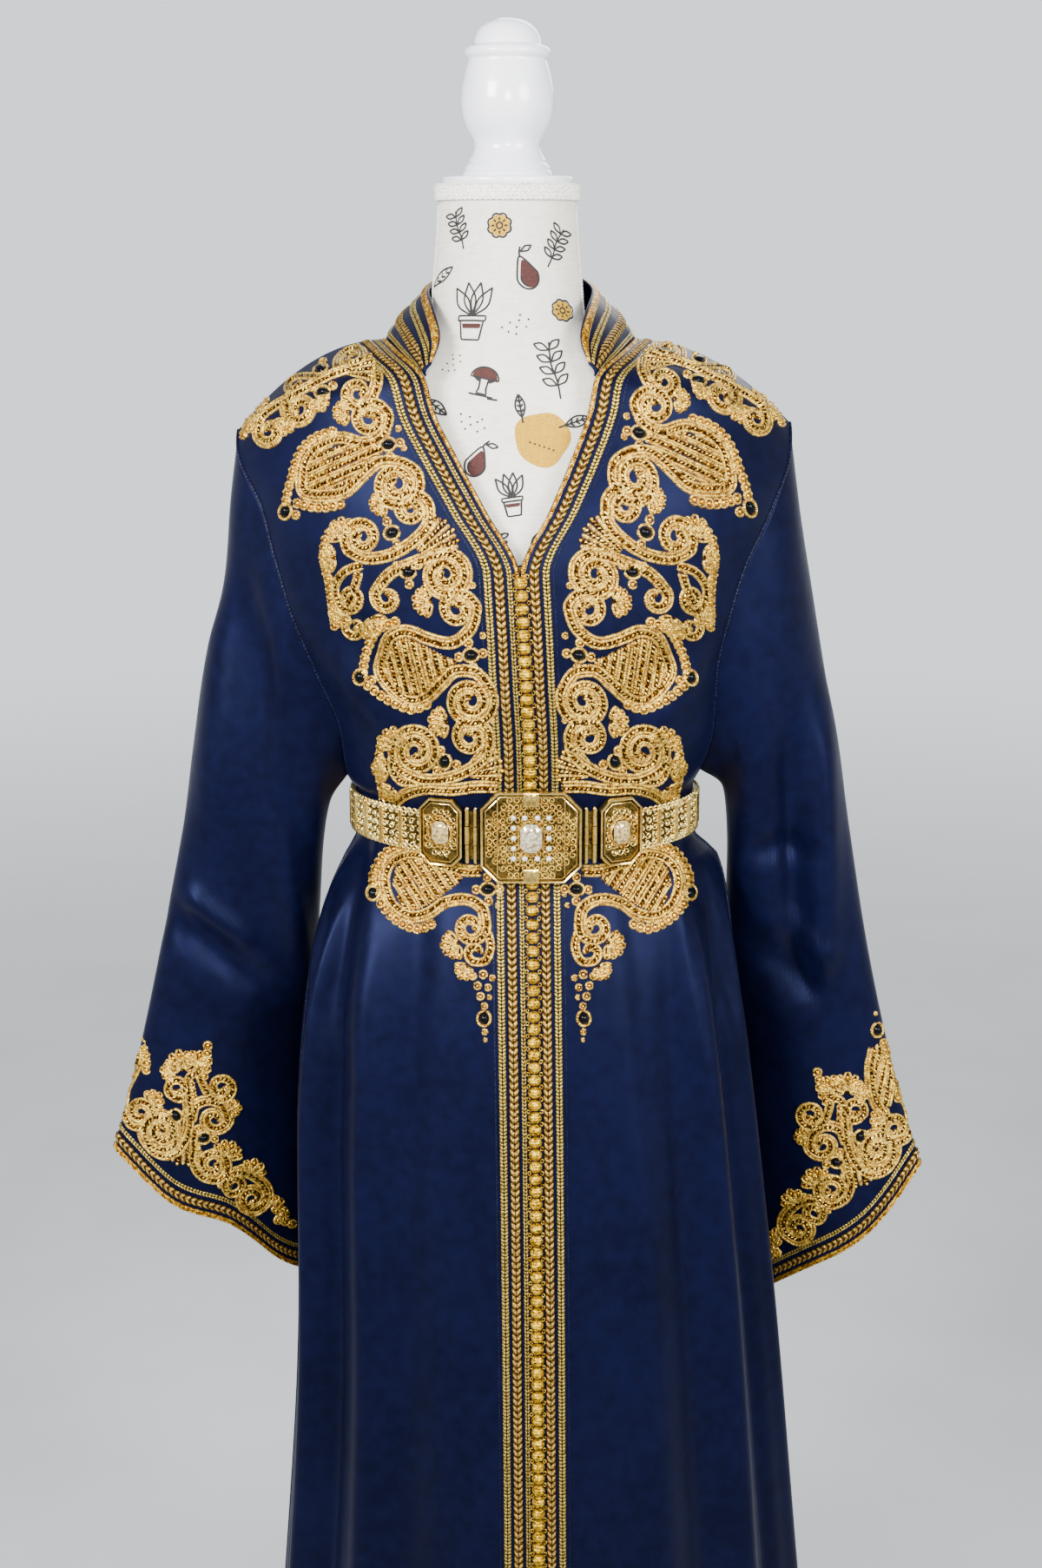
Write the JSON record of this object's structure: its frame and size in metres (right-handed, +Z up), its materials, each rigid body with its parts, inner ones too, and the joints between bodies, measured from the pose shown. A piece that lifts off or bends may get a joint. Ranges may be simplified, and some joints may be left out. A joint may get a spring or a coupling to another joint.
{
  "type": "moroccan kaftan on dress form",
  "caption": "Long-sleeved navy satin kaftan with gold braid, raised scroll embroidery, knot buttons and a metal belt, worn by a limbless dress form on a round stand.",
  "frame": {"origin": "middle of the underside of the stand's round foot, on the pole's axis", "axes": "+Z up, front of the kaftan faces -Y, the wearer's right sleeve is on -X"},
  "size_m": [0.7106, 0.4213, 1.666],
  "materials": {
    "navy_satin": "satin weave",
    "gold_braid": "metallic gold thread",
    "copper_plait": "plaited copper-gold thread",
    "goldwork": "raised gold cord embroidery",
    "belt_metal": "polished gilt",
    "crystal": "cut clear stone",
    "linen": "plain printed linen",
    "lace": "cotton lace",
    "painted_wood": "white gloss paint",
    "painted_steel": "white gloss paint"
  },
  "bodies": {
    "root": {"back": "navy_satin", "belt_band": "belt_metal", "belt_hinge_left": "belt_metal", "belt_hinge_right": "belt_metal", "belt_plaque_centre": "belt_metal", "belt_plaque_left": "belt_metal", "belt_plaque_right": "belt_metal", "belt_stone_centre": "crystal", "belt_stone_left": "crystal", "belt_stone_right": "crystal", "collar": "navy_satin", "collar_braid_base": "gold_braid", "collar_braid_top": "gold_braid", "collar_plait": "copper_plait", "cuff_braid_left": "gold_braid", "cuff_braid_right": "gold_braid", "edge_cord_left": "gold_braid", "edge_cord_right": "gold_braid", "form_cap": "painted_wood", "form_foot": "painted_steel", "form_gimp": "lace", "form_pole": "painted_steel", "form_torso": "linen", "front_left": "navy_satin", "front_right": "navy_satin", "goldwork_chest_left": "goldwork", "goldwork_chest_right": "goldwork", "goldwork_cuff_left": "goldwork", "goldwork_cuff_right": "goldwork", "goldwork_skirt_left": "goldwork", "goldwork_skirt_right": "goldwork", "inner_braid_left": "gold_braid", "knot_row": "gold_braid", "outer_braid_left": "gold_braid", "outer_braid_right": "gold_braid", "plait_left": "copper_plait", "plait_right": "copper_plait", "sleeve_left": "navy_satin", "sleeve_right": "navy_satin"}
  },
  "joints": []
}
